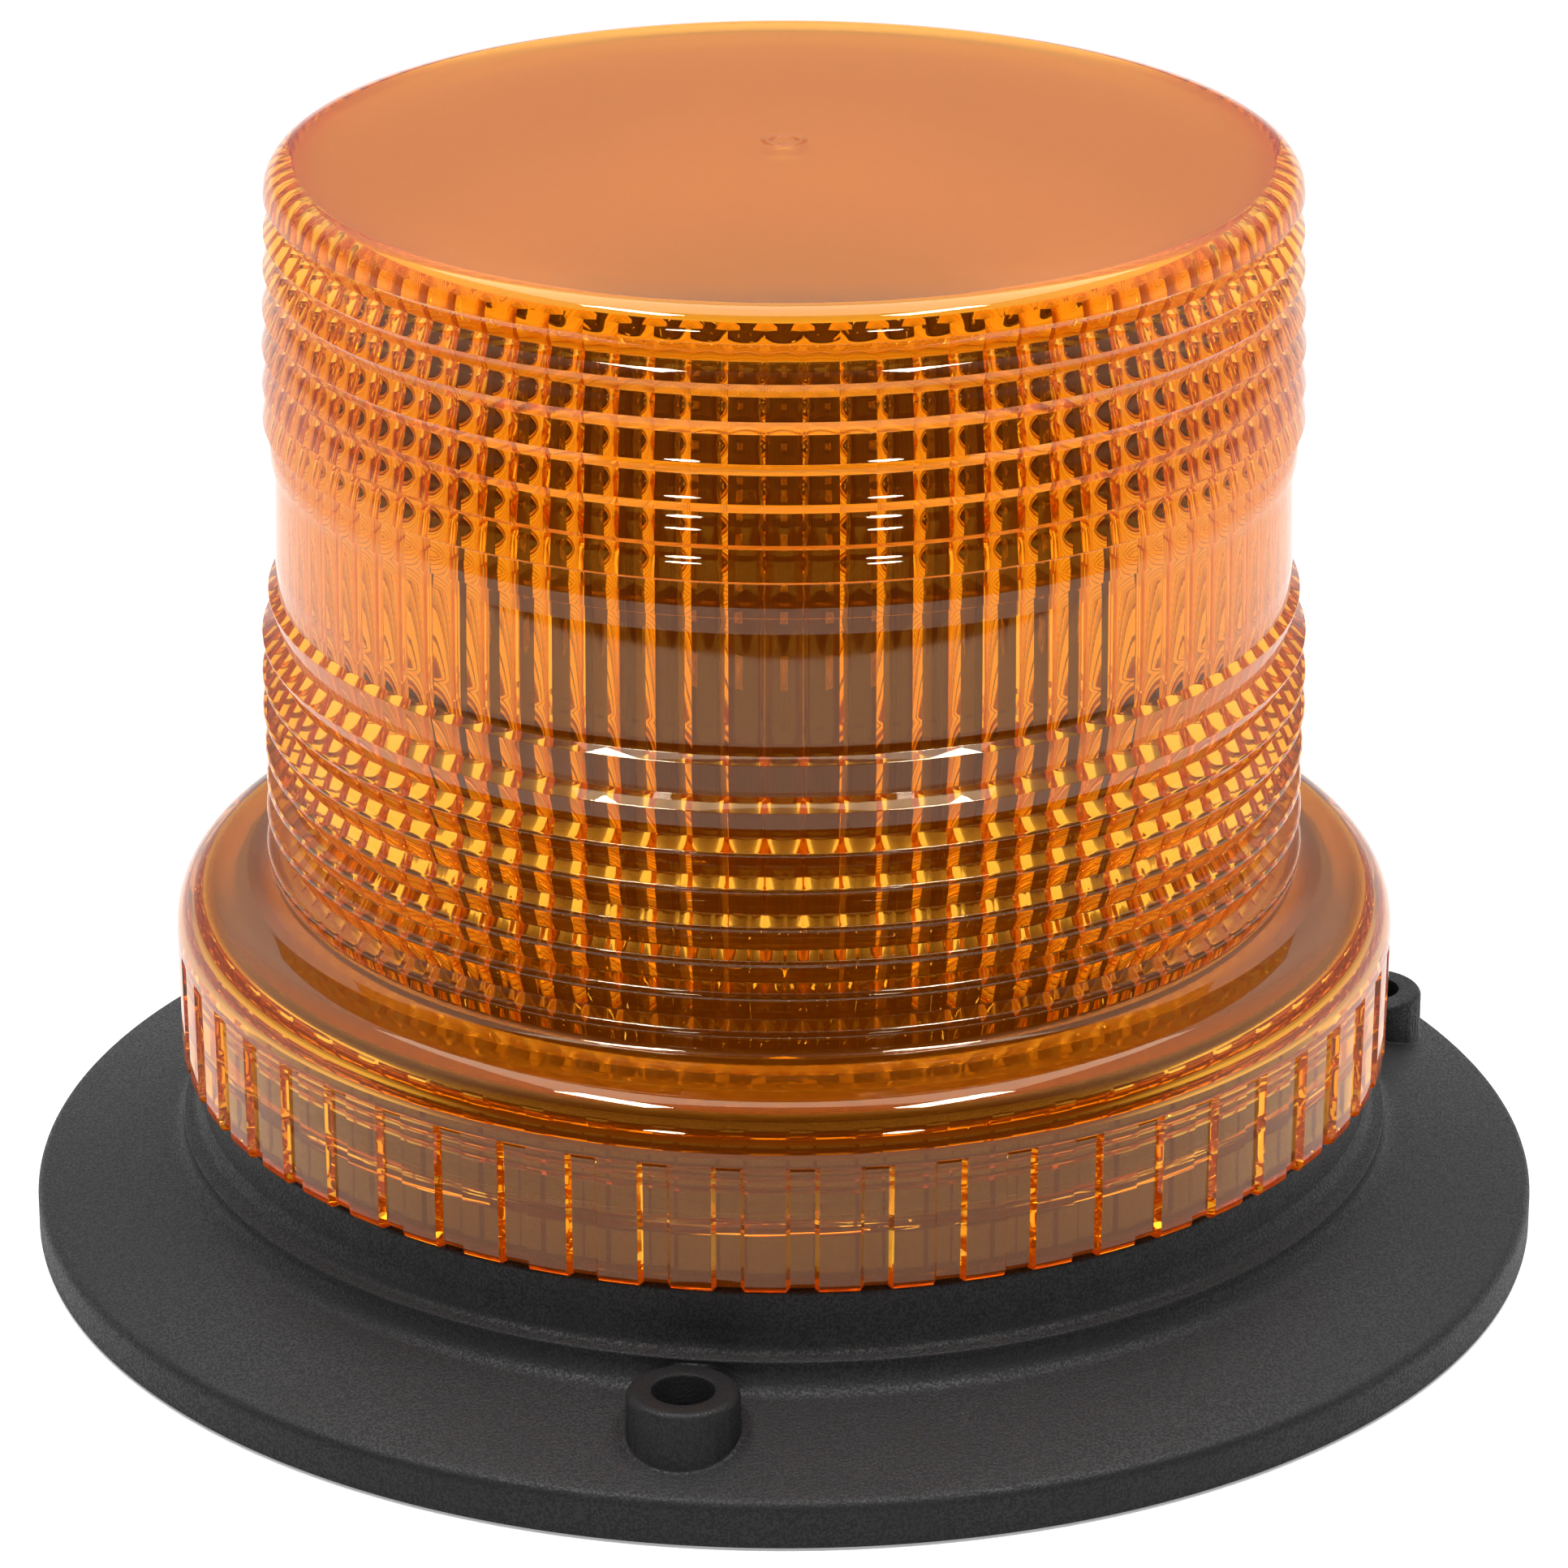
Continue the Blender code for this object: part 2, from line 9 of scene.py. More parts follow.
import bmesh
import bpy
import numpy as np
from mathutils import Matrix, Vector


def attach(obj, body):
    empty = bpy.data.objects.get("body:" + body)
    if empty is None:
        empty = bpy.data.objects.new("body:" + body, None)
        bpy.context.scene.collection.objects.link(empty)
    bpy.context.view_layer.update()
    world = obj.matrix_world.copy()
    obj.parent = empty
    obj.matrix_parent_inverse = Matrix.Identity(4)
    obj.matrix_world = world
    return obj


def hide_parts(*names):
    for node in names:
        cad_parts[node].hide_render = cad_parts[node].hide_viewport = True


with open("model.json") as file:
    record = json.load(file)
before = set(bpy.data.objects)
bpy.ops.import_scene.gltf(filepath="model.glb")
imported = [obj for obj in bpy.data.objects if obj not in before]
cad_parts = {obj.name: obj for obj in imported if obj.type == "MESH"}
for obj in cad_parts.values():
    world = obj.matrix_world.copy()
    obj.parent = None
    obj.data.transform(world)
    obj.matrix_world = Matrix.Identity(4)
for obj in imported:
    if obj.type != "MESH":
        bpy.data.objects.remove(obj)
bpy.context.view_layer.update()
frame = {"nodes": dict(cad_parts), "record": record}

MM = 0.001
TURN = 2 * math.pi
WELD = 2e-6  # metres; points this close become one

# ---- dimensions shared with the CAD model, in millimetres --------------------------------------

BASE_R = 82.5
SHOULDER_R = 66.2
NECK_R = 64.2
NECK_TOP = 19.3
COLLAR_R = 60.2
COLLAR_BORE_R = 57.4
COLLAR_TOP = 36.0
FLOOR_TOP = 3.2
WIRE_HOLE_R = 8.0
GROMMET_RECESS_R = 10.6
GROMMET_RECESS = 1.2
GASKET_IN_R = 63.0
GASKET_OUT_R = 69.0
GASKET_DEPTH = 2.0
POSTS = ((52.0, 30, 3.6, 29.2), (42.0, 90, 3.2, 19.0))  # circle radius, first angle in degrees, radius, top
SCREW_BORE_R = 1.65
SCREW_BORE = 7.0
BOSS_R = 5.8
BOSS_HOLE_R = 3.15
BOSS_ANGLES = (-98.0, 22.0, 142.0)

THREAD_PITCH = 2.5
BASE_THREAD = (61.4, 25.6, 2.25)  # crest radius, height of its start, turns
LENS_THREAD = (60.8, 24.35, 1.25)

LENS_BOTTOM = 19.9
SKIRT_R = 66.2
SKIRT_BORE_R = 62.2
FLANGE_TOP = 40.8
FLANGE_UNDER = 37.6
LENS_TOP = 119.9

# ---- mesh building -----------------------------------------------------------------------------


class Shell:
    """Points and faces in millimetres, gathered ring by ring."""

    def __init__(self):
        self.points = []
        self.count = 0
        self.faces = []

    def add(self, points):
        points = np.asarray(points, float).reshape(-1, 3)
        first = self.count
        self.points.append(points)
        self.count += len(points)
        return np.arange(first, self.count)

    def ring(self, radii, heights, steps):
        """A closed ring about Z. The radii and heights are numbers, or one number for each step."""
        angles = TURN * np.arange(steps) / steps
        radii = np.broadcast_to(radii, steps)
        heights = np.broadcast_to(heights, steps)
        return self.add(np.stack([radii * np.cos(angles), radii * np.sin(angles), heights], 1))

    def strip(self, low, high):
        """Faces between two closed rings: quads, or triangles where the rings have different lengths."""
        if len(low) == len(high):
            a, b = np.asarray(low), np.asarray(high)
            self.faces.extend(np.stack([a, np.roll(a, -1), np.roll(b, -1), b], 1).tolist())
            return
        n, m = len(low), len(high)
        i = j = 0
        while i < n or j < m:
            if j >= m or (i < n and (i + 1) * m <= (j + 1) * n):
                self.faces.append([low[i % n], low[(i + 1) % n], high[j % m]])
                i += 1
            else:
                self.faces.append([low[i % n], high[(j + 1) % m], high[j % m]])
                j += 1

    def tube(self, last, profile, steps):
        """Rings through a profile of (r, z), each joined to the one before it. The first is joined to last."""
        for radii, heights in profile:
            ring = self.ring(radii, heights, steps)
            self.strip(last, ring)
            last = ring
        return last

    def cap(self, ring, height):
        """Closes a ring with a fan of triangles round a point on the axis."""
        middle = self.add([(0, 0, height)])[0]
        after = np.roll(ring, -1)
        self.faces.extend([[int(a), int(b), int(middle)] for a, b in zip(ring, after)])

    def merge(self, other):
        start = self.count
        self.points.append(np.concatenate(other.points))
        self.count += other.count
        self.faces.extend([[i + start for i in face] for face in other.faces])


def make(name, shell, material, body, sharp, replaces):
    """The shell as a smooth-shaded object in metres that rides on a CAD body and replaces a CAD node."""
    mesh = bpy.data.meshes.new(name)
    points = np.concatenate(shell.points) * MM
    mesh.from_pydata(points.tolist(), [], shell.faces)
    mesh.validate()
    mesh.update()
    obj = bpy.data.objects.new(name, mesh)
    bpy.context.scene.collection.objects.link(obj)
    clean(mesh)
    mesh.shade_smooth()
    mesh.set_sharp_from_angle(angle=math.radians(sharp))
    mesh.materials.append(material)
    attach(obj, body)
    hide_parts(replaces)


def clean(mesh):
    """Deletes loose points, welds doubled ones and turns every face outwards."""
    shape = bmesh.new()
    shape.from_mesh(mesh)
    bmesh.ops.delete(shape, geom=[v for v in shape.verts if not v.link_faces], context="VERTS")
    bmesh.ops.remove_doubles(shape, verts=shape.verts, dist=WELD)
    bmesh.ops.recalc_face_normals(shape, faces=shape.faces)
    shape.to_mesh(mesh)
    shape.free()


STRAIGHT = math.radians(88)  # a corner whose half angle is above this is left as a point
SMALL_FILLET = 0.2  # a fillet below this is made of two pieces
SHARE_OF_SIDE = 0.98


def rounded(corners, steps=5):
    """A polyline of (r, z) through corners (r, z, fillet radius), each corner turned into an arc."""
    points = []
    count = len(corners)
    for i, (r, z, fillet) in enumerate(corners):
        at = np.array([r, z])
        if fillet <= 0 or i in (0, count - 1):
            points.append((r, z))
            continue
        before = np.array(corners[i - 1][:2]) - at
        after = np.array(corners[i + 1][:2]) - at
        room = (np.linalg.norm(before), np.linalg.norm(after))
        before = before / room[0]
        after = after / room[1]
        half = math.acos(np.clip(before @ after, -1, 1)) / 2
        if half > STRAIGHT:
            points.append((r, z))
            continue
        others = (corners[i - 1][2], corners[i + 1][2])
        limits = [
            SHARE_OF_SIDE * length * fillet / (fillet + other) for length, other in zip(room, others)
        ]
        reach = min(fillet / math.tan(half), *limits)
        radius = reach * math.tan(half)
        centre = at + (before + after) / np.linalg.norm(before + after) * radius / math.sin(half)
        start = at + before * reach - centre
        stop = at + after * reach - centre
        first = math.atan2(start[1], start[0])
        turn = (math.atan2(stop[1], stop[0]) - first + math.pi) % TURN - math.pi
        pieces = 2 if fillet < SMALL_FILLET else steps
        for k in range(pieces + 1):
            angle = first + turn * k / pieces
            points.append((centre[0] + radius * math.cos(angle), centre[1] + radius * math.sin(angle)))
    return points


# ---- materials ---------------------------------------------------------------------------------


class Nodes:
    """A node tree with helpers. Their values are sockets or plain numbers."""

    def __init__(self, tree):
        self.tree = tree

    def node(self, kind, **settings):
        made = self.tree.nodes.new(kind)
        for key, value in settings.items():
            setattr(made, key, value)
        return made

    def link(self, a, b):
        self.tree.links.new(a, b)

    def math(self, operation, a, b=0.0):
        made = self.node("ShaderNodeMath", operation=operation)
        for socket, value in zip(made.inputs, (a, b)):
            if isinstance(value, (int, float)):
                socket.default_value = value
            else:
                self.link(value, socket)
        return made.outputs[0]

    def between(self, value, low, high, to_low, to_high):
        """Goes smoothly from to_low to to_high while the value goes from low to high."""
        made = self.node("ShaderNodeMapRange", interpolation_type="SMOOTHSTEP")
        sockets = ("From Min", "From Max", "To Min", "To Max")
        for socket, number in zip(sockets, (low, high, to_low, to_high)):
            made.inputs[socket].default_value = number
        self.link(value, made.inputs["Value"])
        return made.outputs["Result"]

    def window(self, value, low, high, edge):
        """One between low and high, zero outside, with edges that wide."""
        rise = self.between(value, low, low + edge, 0.0, 1.0)
        return self.math("MULTIPLY", rise, self.between(value, high - edge, high, 1.0, 0.0))

    def mix(self, share, a, b):
        made = self.node("ShaderNodeMix", data_type="RGBA")
        self.link(share, made.inputs["Factor"])
        for socket, colour in ((made.inputs[6], a), (made.inputs[7], b)):
            if isinstance(colour, tuple):
                socket.default_value = (*colour, 1.0)
            else:
                self.link(colour, socket)
        return made.outputs[2]

    def parts(self, vector):
        made = self.node("ShaderNodeSeparateXYZ")
        self.link(vector, made.inputs[0])
        return made.outputs


class Look(Nodes):
    """A Principled material. Positions are the object's own, in metres."""

    def __init__(self, name, colour, roughness, metallic=0.0):
        self.material = bpy.data.materials.new(name)
        self.material.use_nodes = True
        super().__init__(self.material.node_tree)
        self.shader = self.tree.nodes["Principled BSDF"]
        self.set("Base Color", (*colour, 1.0))
        self.set("Roughness", roughness)
        self.set("Metallic", metallic)
        self.position = self.node("ShaderNodeTexCoord").outputs["Object"]
        self.bumps = None

    def set(self, socket, value):
        self.shader.inputs[socket].default_value = value

    def noise(self, scale_mm, detail=2.0, roughness=0.5, stretch=None):
        """Noise whose features are about that many millimetres across."""
        made = self.node("ShaderNodeTexNoise")
        made.inputs["Scale"].default_value = 1.0 / (scale_mm * MM)
        made.inputs["Detail"].default_value = detail
        made.inputs["Roughness"].default_value = roughness
        source = self.position
        if stretch:
            mapping = self.node("ShaderNodeMapping")
            mapping.inputs["Scale"].default_value = stretch
            self.link(source, mapping.inputs["Vector"])
            source = mapping.outputs[0]
        self.link(source, made.inputs["Vector"])
        return made.outputs["Fac"]

    def colour(self, socket):
        self.link(socket, self.shader.inputs["Base Color"])

    def rough(self, socket):
        self.link(socket, self.shader.inputs["Roughness"])

    def bump(self, height, depth_mm, strength=1.0):
        made = self.node("ShaderNodeBump")
        made.inputs["Strength"].default_value = strength
        made.inputs["Distance"].default_value = depth_mm * MM
        self.link(height, made.inputs["Height"])
        if self.bumps:
            self.link(self.bumps, made.inputs["Normal"])
        self.bumps = made.outputs["Normal"]
        self.link(self.bumps, self.shader.inputs["Normal"])


AMBER_IOR = 1.58
AMBER_TINT = (0.97, 0.59, 0.12)
PAINTED_TOP_TINT = (0.93, 0.46, 0.05)  # painted shade: the top and its rounded edge get a deeper, darker tint than the rest of the lens, standing in for the way light passes through them
PAINTED_TOP_TINT_Z = (0.1165, 0.1175)
PAINTED_EDGE_TINT = (0.8, 0.22, 0.02)  # painted shade: a deeper tint at the bottom edge, standing in for light that has gone a long way through the plastic
PAINTED_EDGE_TINT_Z = (0.0199, 0.0209)
AMBER_VOLUME = (0.93, 0.72, 0.0)
AMBER_DENSITY = 120.0
GLOW = (1.0, 0.2, 0.0)  # stands for the light that the tinted plastic scatters inside itself
GLOW_STRENGTH = 0.035
SHEEN = (1.0, 0.84, 0.6)  # tints the shine, for the light that comes back from just under the skin
FROST = 0.42  # roughness of the flat of the top
FROST_Z = (0.1195, 0.1197)
FROST_R = (0.0508, 0.0514)
UNDER_MATTE = 0.4  # roughness of the underside of the flange, inside the skirt
UNDER_Z = (0.0370, 0.0386)
UNDER_R = (0.0622, 0.0626)
GATE_PLACE = (0.0, 0.0045, 0.11985)  # the moulding's gate mark, a small raised ring
GATE_R = (0.0010, 0.0026)


def amber_look():
    look = Look("amber_lens", AMBER_TINT, 0.03)
    look.set("Transmission Weight", 1.0)
    look.set("Emission Color", (*GLOW, 1.0))
    look.set("Emission Strength", GLOW_STRENGTH)
    look.set("IOR", AMBER_IOR)
    look.set("Specular Tint", (*SHEEN, 1.0))
    absorb = look.node("ShaderNodeVolumeAbsorption")
    absorb.inputs["Color"].default_value = (*AMBER_VOLUME, 1.0)
    absorb.inputs["Density"].default_value = AMBER_DENSITY
    look.link(absorb.outputs[0], look.tree.nodes["Material Output"].inputs["Volume"])

    x, y, z = look.parts(look.position)
    squares = look.math("ADD", look.math("MULTIPLY", x, x), look.math("MULTIPLY", y, y))
    radius = look.math("SQRT", squares)
    high = look.between(z, *FROST_Z, 0.0, 1.0)
    frost = look.math("MULTIPLY", high, look.between(radius, *FROST_R, 1.0, 0.0))
    under = look.window(z, *UNDER_Z, 0.0002)
    matte = look.math("MULTIPLY", under, look.between(radius, *UNDER_R, UNDER_MATTE, 0.0))
    fine = look.math("MULTIPLY", look.noise(1.5, 3.0), 0.05)
    rough = look.math("ADD", look.math("MULTIPLY", frost, FROST), fine)
    look.rough(look.math("ADD", rough, matte))

    # Painted shade: the base colour deepens towards the bottom edge, for the light that has gone a long way
    # through the plastic there.
    low = look.mix(look.between(z, *PAINTED_EDGE_TINT_Z, 1.0, 0.0), AMBER_TINT, PAINTED_EDGE_TINT)
    # Painted shade: the top and its rounded edge get the deeper tint, for the way light passes through the
    # plastic there.
    look.colour(look.mix(look.between(z, *PAINTED_TOP_TINT_Z, 0.0, 1.0), low, PAINTED_TOP_TINT))

    look.bump(look.noise(14.0, 1.0), 0.02, 0.6)
    gate = look.node("ShaderNodeVectorMath", operation="DISTANCE")
    look.link(look.position, gate.inputs[0])
    gate.inputs[1].default_value = GATE_PLACE
    look.bump(look.window(gate.outputs["Value"], *GATE_R, 0.0008), 0.5)
    return look.material


def black_look():
    """Black plastic with a fine moulded grain."""
    look = Look("black_plastic", (0.012, 0.012, 0.0125), 0.5)
    look.set("Specular IOR Level", 0.3)
    grain = look.noise(0.28, 2.0, 0.6)
    blotch = look.noise(9.0, 3.0)
    fleck = look.between(grain, 0.42, 0.6, 0.0, 1.0)
    dark = look.mix(fleck, (0.005, 0.0047, 0.0048), (0.026, 0.025, 0.027))
    look.colour(look.mix(blotch, dark, (0.011, 0.0105, 0.0108)))
    look.rough(look.between(grain, 0.42, 0.6, 0.62, 0.4))
    look.bump(grain, 0.09, 0.8)
    look.bump(blotch, 0.04, 0.3)
    return look.material


def rubber_look():
    look = Look("black_rubber", (0.02, 0.02, 0.02), 0.75)
    grain = look.noise(0.6, 3.0)
    look.colour(look.mix(grain, (0.014, 0.014, 0.014), (0.03, 0.029, 0.028)))
    look.bump(grain, 0.05, 0.4)
    return look.material


def metal_look(name, colour, roughness, stretch=(1.0, 1.0, 14.0)):
    """Metal with fine tool lines. The lines are short along the axis that has the large stretch."""
    look = Look(name, colour, roughness, 1.0)
    lines = look.noise(0.4, 3.0, 0.6, stretch)
    look.rough(look.between(lines, 0.3, 0.7, roughness * 0.7, roughness * 1.4))
    stain = look.noise(5.0, 3.0)
    look.colour(look.mix(stain, tuple(c * 0.85 for c in colour), colour))
    look.bump(lines, 0.01, 0.5)
    return look.material


def plain_look(name, colour, roughness, grain_mm=0.5, spread=0.25):
    """Plastic with a slight grain in its colour and its roughness."""
    look = Look(name, colour, roughness)
    grain = look.noise(grain_mm, 3.0)
    darker = tuple(c * (1 - spread) for c in colour)
    lighter = tuple(min(1.0, c * (1 + spread)) for c in colour)
    look.colour(look.mix(grain, darker, lighter))
    look.rough(look.between(grain, 0.3, 0.7, roughness * 0.85, min(1.0, roughness * 1.15)))
    look.bump(grain, 0.02, 0.3)
    return look.material


def board_look():
    """Black solder mask with traces and a speckle of weave."""
    look = Look("board_black", (0.016, 0.009, 0.006), 0.35)
    brick = look.node("ShaderNodeTexBrick")
    brick.inputs["Scale"].default_value = 180.0
    brick.inputs["Mortar Size"].default_value = 0.06
    look.link(look.position, brick.inputs["Vector"])
    weave = look.noise(0.5, 2.0)
    traces = look.between(brick.outputs["Fac"], 0.4, 0.6, 0.0, 0.4)
    look.colour(look.mix(traces, (0.02, 0.007, 0.002), (0.06, 0.022, 0.004)))
    look.rough(look.between(weave, 0.3, 0.7, 0.3, 0.45))
    look.bump(traces, 0.04, 0.5)
    return look.material


def led_look():
    look = Look("led_clear", (0.3, 0.15, 0.02), 0.1)
    grain = look.noise(0.6, 2.0)
    look.colour(look.mix(grain, (0.25, 0.1, 0.01), (0.4, 0.22, 0.03)))
    look.rough(look.between(grain, 0.3, 0.7, 0.06, 0.2))
    look.set("Coat Weight", 1.0)
    # Painted glint: a faint emission in the LED's colour stands in for the glints on the unlit LEDs.
    look.set("Emission Color", (1.0, 0.7, 0.1, 1.0))
    look.set("Emission Strength", 0.03)
    return look.material


# ---- the lens ----------------------------------------------------------------------------------

# each rib's crest height, crest radius, riser height and depth
LOWER_RIBS = (
    (44.2, 56.4, 0.9, 2.0),
    (48.3, 56.35, 0.9, 2.0),
    (51.9, 56.3, 0.9, 2.0),
    (55.7, 56.3, 0.9, 2.0),
    (59.9, 56.3, 0.85, 2.0),
    (63.8, 56.2, 1.0, 2.2),
    (68.2, 56.0, 1.0, 2.1),
    (73.0, 55.2, 0.6, 1.1),
)
LOWER_ROUNDS = (0.7, 0.7, 0.7, 0.6, 0.4, 0.3, 0.15, 0.12)  # fillets of the lower crests
UPPER_RIBS = (
    (88.4, 54.6, 0.2, 0.5),
    (92.4, 55.2, 0.51, 0.9),
    (96.2, 55.1, 0.79, 1.0),
    (100.4, 55.0, 1.26, 1.1),
    (104.5, 54.85, 1.56, 1.2),
    (108.8, 54.65, 1.75, 1.3),
    (112.6, 54.5, 1.78, 1.4),
    (116.6, 54.4, 2.3, 1.7),
)
UPPER_ROUND = 0.12
VALLEY_ROUND = 0.1
BAND = ((54.3, 77.0, 8.0), (54.1, 86.5, 2.0))  # the smooth band between the ribs
FACET_BULGE = 0.09  # the facets of the upper ribs are slightly convex
FACET_ROUND = 6.0
FLAT_RISER = 0.5  # no bulge under a riser lower than this
TOP_ROUND = 3.05
FLANGE_ROUND = 6.0
DOME_FOOT = (56.0, 41.7, 0)
TOP_DIP = 0.05  # the flat of the top lies this far below its edge
TOP_RINGS = (45.0, 36.0, 26.0, 16.0, 8.0, 5.4, 3.0)

DOME_STEPS = 270
FLANGE_STEPS = 360

GRIPS = 55
GRIP_STEPS = 18
SKIRT_STEPS = GRIP_STEPS * GRIPS
GROOVE_SPAN = (0.3, 0.7)  # the share of each grip that is groove
GROOVE_DEPTH = 0.75
GROOVE_ROWS = (  # height, and share of the groove's depth
    (34.1, 0.0),
    (33.9, 0.55),
    (33.4, 0.95),
    (32.7, 1.0),
    (28.0, 1.0),
    (23.0, 1.0),
    (21.6, 1.0),
    (20.8, 1.0),
)
SKIRT_DRAFT = 0.01  # millimetres of radius for each millimetre below z 36
SKIRT_FOOT = ((0.45, 0.15), (0.78, 0.45), (0.9, 0.9))  # drop below the last groove row, and inset

BORE_LINES = (30.1, 31.4, 32.5, 33.8, 35.0)  # fine ledges round the inside of the skirt
LEDGE_RISE = 0.13
LEDGE_END = 0.8
LEDGE_DEPTH = 0.28

FLUTES = 90
FLUTE_POINTS = 8
FLUTE_STEPS = FLUTE_POINTS * FLUTES
FLUTE_DEPTH = 0.5
FLUTE_ROWS = (  # radius, height, and share of the flutes' depth
    (52.1, 39.0, 0.0),
    (52.1, 40.0, 0.0),
    (52.08, 41.0, 1.0),
    (52.0, 60.0, 1.0),
    (51.8, 80.0, 1.0),
    (51.5, 100.0, 1.0),
    (51.3, 115.2, 1.0),
    (51.2, 116.2, 0.9),
    (51.0, 116.8, 0.5),
    (50.6, 117.15, 0.0),
)
CEILING = 117.4  # the inside of the lens's top
CEILING_RINGS = (49.2, 40.0, 25.0, 12.0, 4.0)

THREAD_HALF = 0.85  # half the width of a thread's ridge
THREAD_FADE = 0.04  # turns over which a thread's ends die into the wall


def dome_profile():
    """The outside of the dome as (r, z), from the foot of its lowest rib up to the flat of the top."""
    corners = [DOME_FOOT, (55.5, 42.2, 0.2)]
    for (z, radius, riser, depth), crest_round in zip(LOWER_RIBS, LOWER_ROUNDS):
        corners.append((radius, z, crest_round))
        corners.append((radius - depth, z + riser, VALLEY_ROUND))
    corners += BAND
    for z, radius, riser, depth in UPPER_RIBS:
        valley = (radius - depth, z - riser)
        before = corners[-1]
        if riser > FLAT_RISER:
            out = np.array([valley[1] - before[1], before[0] - valley[0]])
            bulge = FACET_BULGE * out / np.linalg.norm(out)
            middle = ((before[0] + valley[0]) / 2 + bulge[0], (before[1] + valley[1]) / 2 + bulge[1])
            corners.append((*middle, FACET_ROUND))
        corners.append((*valley, VALLEY_ROUND))
        corners.append((radius, z, UPPER_ROUND))
    corners += [(54.3, LENS_TOP, TOP_ROUND), (48.0, LENS_TOP, 0)]
    return rounded(corners, 4)[:-1] + [(51.1, LENS_TOP), (50.95, LENS_TOP - TOP_DIP)]


def flange_profile():
    """From the skirt's rounded top corner in to the dome's foot."""
    corners = [
        (SKIRT_R, 34.4, 0),
        (SKIRT_R, FLANGE_TOP, FLANGE_ROUND),
        (58.4, FLANGE_TOP, 1.2),
        (57.2, 41.2, 0.5),
        DOME_FOOT,
    ]
    return rounded(corners, 8)


def grip_depths():
    """How far each step round the skirt lies below the pads, from 0 to 1."""
    place = (np.arange(SKIRT_STEPS) % GRIP_STEPS) / GRIP_STEPS
    depth = np.zeros(SKIRT_STEPS)
    depth[(place > GROOVE_SPAN[0]) & (place < GROOVE_SPAN[1])] = 1.0
    return depth


def thread_row(z, base_r, thread, steps):
    """The radii round a wall at height z, with a helical ridge on it."""
    crest, start_z, turns = thread
    along = np.arange(steps) / steps
    radii = np.full(steps, float(base_r))
    for turn in range(-1, math.ceil(turns) + 1):
        place = along + turn
        distance = np.abs(z - (start_z + THREAD_PITCH * place))
        ridge = 0.5 + 0.5 * np.cos(math.pi * np.clip(distance / THREAD_HALF, 0, 1))
        fade = np.clip(np.minimum(place, turns - place) / THREAD_FADE, 0, 1)
        radii += (crest - base_r) * ridge * fade
    return radii


def skirt_outside(shell, last):
    """The gripped outside of the skirt and its rounded bottom edge, down from the flange."""
    depth = grip_depths()
    for z, share in GROOVE_ROWS:
        radii = SKIRT_R - SKIRT_DRAFT * (36 - z) - GROOVE_DEPTH * depth * share
        last = shell.tube(last, [(radii, z)], SKIRT_STEPS)
    for drop, inset in SKIRT_FOOT:
        radii = SKIRT_R - 0.15 - GROOVE_DEPTH * depth * 0.9 - inset
        heights = GROOVE_ROWS[-1][0] - drop + 0.35 * depth * 0.5
        last = shell.tube(last, [(radii, heights)], SKIRT_STEPS)
    return last


def skirt_inside(shell, last):
    """The skirt's bore with its ledges and thread, and the underside of the flange."""
    foot = [(SKIRT_BORE_R + 0.5, LENS_BOTTOM), (SKIRT_BORE_R, LENS_BOTTOM + 0.5)]
    last = shell.tube(last, foot, DOME_STEPS)
    heights = set(np.arange(LENS_BOTTOM + 1.0, 29.0, 0.25))
    heights |= set(np.arange(29.2, FLANGE_UNDER - 0.9, 0.6))
    for ledge in BORE_LINES:
        heights |= {ledge, ledge + LEDGE_RISE, ledge + LEDGE_END}
    for z in sorted(heights):
        line = max(np.interp(z - ledge, (0, LEDGE_RISE, LEDGE_END), (0, 1, 0)) for ledge in BORE_LINES)
        radii = thread_row(z, SKIRT_BORE_R, LENS_THREAD, DOME_STEPS) - LEDGE_DEPTH * line
        last = shell.tube(last, [(radii, z)], DOME_STEPS)
    under = [
        (SKIRT_BORE_R, 36.5, 0),
        (SKIRT_BORE_R, FLANGE_UNDER, 0.8),
        (52.8, FLANGE_UNDER, 0.5),
        (52.1, 38.4, 0),
    ]
    return shell.tube(last, rounded(under, 4), DOME_STEPS)


def dome_inside(shell, last):
    """The fluted inside wall of the dome and its ceiling."""
    place = (np.arange(FLUTE_STEPS) % FLUTE_POINTS) / FLUTE_POINTS
    scallop = 1 - (2 * place - 1) ** 2
    for r, z, share in FLUTE_ROWS:
        last = shell.tube(last, [(r - FLUTE_DEPTH * scallop * share, z)], FLUTE_STEPS)
    rings = [(50.0, CEILING - 0.08)] + [(r, CEILING) for r in CEILING_RINGS]
    last = shell.tube(last, rings, DOME_STEPS)
    shell.cap(last, CEILING)


def lens_shell():
    shell = Shell()
    dome = dome_profile()
    foot = shell.ring(*dome[0], DOME_STEPS)
    last = shell.tube(foot, dome[1:], DOME_STEPS)
    last = shell.tube(last, [(r, LENS_TOP - TOP_DIP) for r in TOP_RINGS], DOME_STEPS)
    shell.cap(last, LENS_TOP - TOP_DIP)

    flange = flange_profile()
    skirt_top = shell.ring(*flange[0], FLANGE_STEPS)
    last = shell.tube(skirt_top, flange[1:-1], FLANGE_STEPS)
    shell.strip(last, foot)

    last = skirt_outside(shell, skirt_top)
    last = skirt_inside(shell, last)
    dome_inside(shell, last)
    return shell


# ---- the base ----------------------------------------------------------------------------------

BASE_STEPS = 360
FLARE_STEPS = 720
POST_STEPS = 32
CONE_OUT = (82.5, 4.85)  # radius and height of the flare's outer and inner ends
CONE_IN = (66.2, 9.77)
SHOULDER_TOP = 12.45
FILLET = 1.9  # at the foot of the shoulder wall
FLARE_RINGS = (79.8, 79.0, 78.0, 76.5, 75.0, 73.5, 72.0, 70.5, 69.0)

